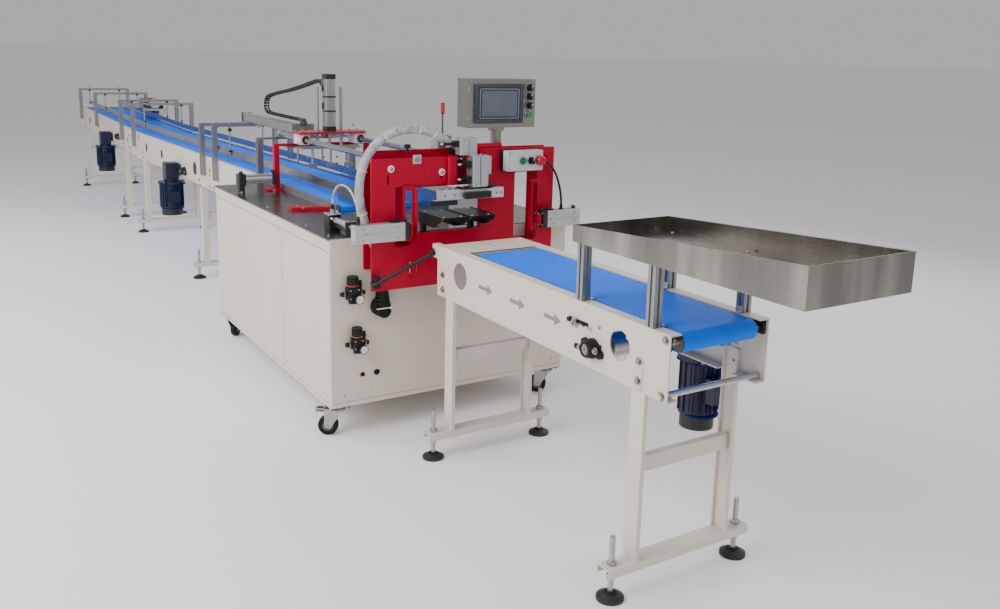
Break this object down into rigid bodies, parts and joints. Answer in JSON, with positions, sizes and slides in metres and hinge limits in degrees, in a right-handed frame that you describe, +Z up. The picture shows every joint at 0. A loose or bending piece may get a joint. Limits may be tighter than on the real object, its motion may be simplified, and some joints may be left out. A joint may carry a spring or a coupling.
{
  "type": "packaging machine",
  "caption": "Bagging line for tissue rolls: belt infeed with guide rails, gantry pusher over a cabinet, red bagging frame with clamps, and an outfeed conveyor.",
  "frame": {"origin": "middle of the footprint on the floor", "axes": "+X along the product flow from infeed to outfeed, +Y to the side that faces away from the viewer, +Z up"},
  "size_m": [9.6796, 1.1328, 1.396],
  "materials": {
    "cream_paint": "satin",
    "red_paint": "satin",
    "stainless": "brushed",
    "aluminium": "satin",
    "chrome_rod": "polished",
    "zinc": "satin",
    "blue_belt": "matt",
    "black_rubber": "matt",
    "grey_rubber": "matt",
    "black_plastic": "satin",
    "navy_paint": "satin",
    "grey_metal": "satin",
    "yellow_plastic": "gloss",
    "screen": "gloss",
    "clear_hose": "gloss"
  },
  "bodies": {
    "machine": {"cabinet_body": "cream_paint", "table_top": "stainless", "castor_plates": "zinc", "infeed_side_plates": "cream_paint", "infeed_posts": "aluminium", "rail_hangers": "zinc", "guide_rails": "aluminium", "divider_unit": "aluminium", "gantry_stand": "aluminium", "gantry_rods": "chrome_rod", "push_cylinder": "aluminium", "cable_chain": "black_plastic", "table_brackets": "red_paint", "hold_down": "zinc", "stop_cylinder": "aluminium", "corner_cylinder": "black_plastic", "guard_strip": "yellow_plastic", "front_plate": "red_paint", "rear_plate": "red_paint", "clamp_cylinders": "aluminium", "head_cylinder": "aluminium", "bag_former": "black_plastic", "valve_block": "grey_metal", "hose_manifold": "black_plastic", "outfeed_side_plates": "cream_paint", "outfeed_stay": "black_plastic", "conveyor_belts": "blue_belt", "belt_rollers": "zinc", "gearmotors": "navy_paint", "flange_bearings": "navy_paint", "leg_frames": "cream_paint", "levelling_feet": "black_rubber", "tray_posts": "aluminium", "tray": "stainless", "panel_case": "stainless", "panel_screen": "screen", "panel_controls": "black_plastic", "control_box": "cream_paint", "control_buttons": "red_paint", "air_regulators": "black_plastic", "cable_boot": "black_plastic", "hose_bundle": "clear_hose", "control_cable": "black_plastic", "air_tube": "clear_hose"},
    "carriage": {"carriage": "red_paint", "push_rod": "chrome_rod", "lift_cylinder": "aluminium"},
    "pusher": {"pusher": "zinc"},
    "sealing_head": {"head_bar": "black_plastic"},
    "left_clamp": {"left_clamp": "red_paint"},
    "right_clamp": {"right_clamp": "red_paint"},
    "castor_1": {"castor_fork_1": "zinc"},
    "wheel_1": {"castor_wheel_1": "grey_rubber"},
    "castor_2": {"castor_fork_2": "zinc"},
    "wheel_2": {"castor_wheel_2": "grey_rubber"},
    "castor_3": {"castor_fork_3": "zinc"},
    "wheel_3": {"castor_wheel_3": "grey_rubber"},
    "castor_4": {"castor_fork_4": "zinc"},
    "wheel_4": {"castor_wheel_4": "grey_rubber"}
  },
  "joints": [
    {"name": "carriage_slide", "type": "slide", "parent": "machine", "child": "carriage", "axis": [1, 0, 0], "range_m": [0, 0.8], "deforming": ["cable_chain"]},
    {"name": "pusher_slide", "type": "slide", "parent": "carriage", "child": "pusher", "axis": [0, 0, 1], "range_m": [-0.09, 0]},
    {"name": "head_slide", "type": "slide", "parent": "machine", "child": "sealing_head", "axis": [0, 0, 1], "range_m": [-0.035, 0]},
    {"name": "left_clamp_slide", "type": "slide", "parent": "machine", "child": "left_clamp", "axis": [0, 1, 0], "range_m": [0, 0.04]},
    {"name": "right_clamp_slide", "type": "slide", "parent": "machine", "child": "right_clamp", "axis": [0, -1, 0], "range_m": [0, 0.12]},
    {"name": "castor_swivel_1", "type": "hinge", "parent": "machine", "child": "castor_1", "pos_m": [2.86478, -0.48364, 0.118], "axis": [0, 0, 1], "continuous": true},
    {"name": "castor_spin_1", "type": "hinge", "parent": "castor_1", "child": "wheel_1", "pos_m": [2.84578, -0.51655, 0.04], "axis": [-0.866, 0.5, 0], "continuous": true},
    {"name": "castor_swivel_2", "type": "hinge", "parent": "machine", "child": "castor_2", "pos_m": [2.86478, 0.51336, 0.118], "axis": [0, 0, 1], "continuous": true},
    {"name": "castor_spin_2", "type": "hinge", "parent": "castor_2", "child": "wheel_2", "pos_m": [2.84036, 0.48424, 0.04], "axis": [-0.766, 0.6428, 0], "continuous": true},
    {"name": "castor_swivel_3", "type": "hinge", "parent": "machine", "child": "castor_3", "pos_m": [1.41978, -0.48364, 0.118], "axis": [0, 0, 1], "continuous": true},
    {"name": "castor_spin_3", "type": "hinge", "parent": "castor_3", "child": "wheel_3", "pos_m": [1.39199, -0.45773, 0.04], "axis": [0.682, 0.7314, 0], "continuous": true},
    {"name": "castor_swivel_4", "type": "hinge", "parent": "machine", "child": "castor_4", "pos_m": [1.41978, 0.51336, 0.118], "axis": [0, 0, 1], "continuous": true},
    {"name": "castor_spin_4", "type": "hinge", "parent": "castor_4", "child": "wheel_4", "pos_m": [1.38178, 0.51336, 0.04], "axis": [0, 1, 0], "continuous": true}
  ]
}
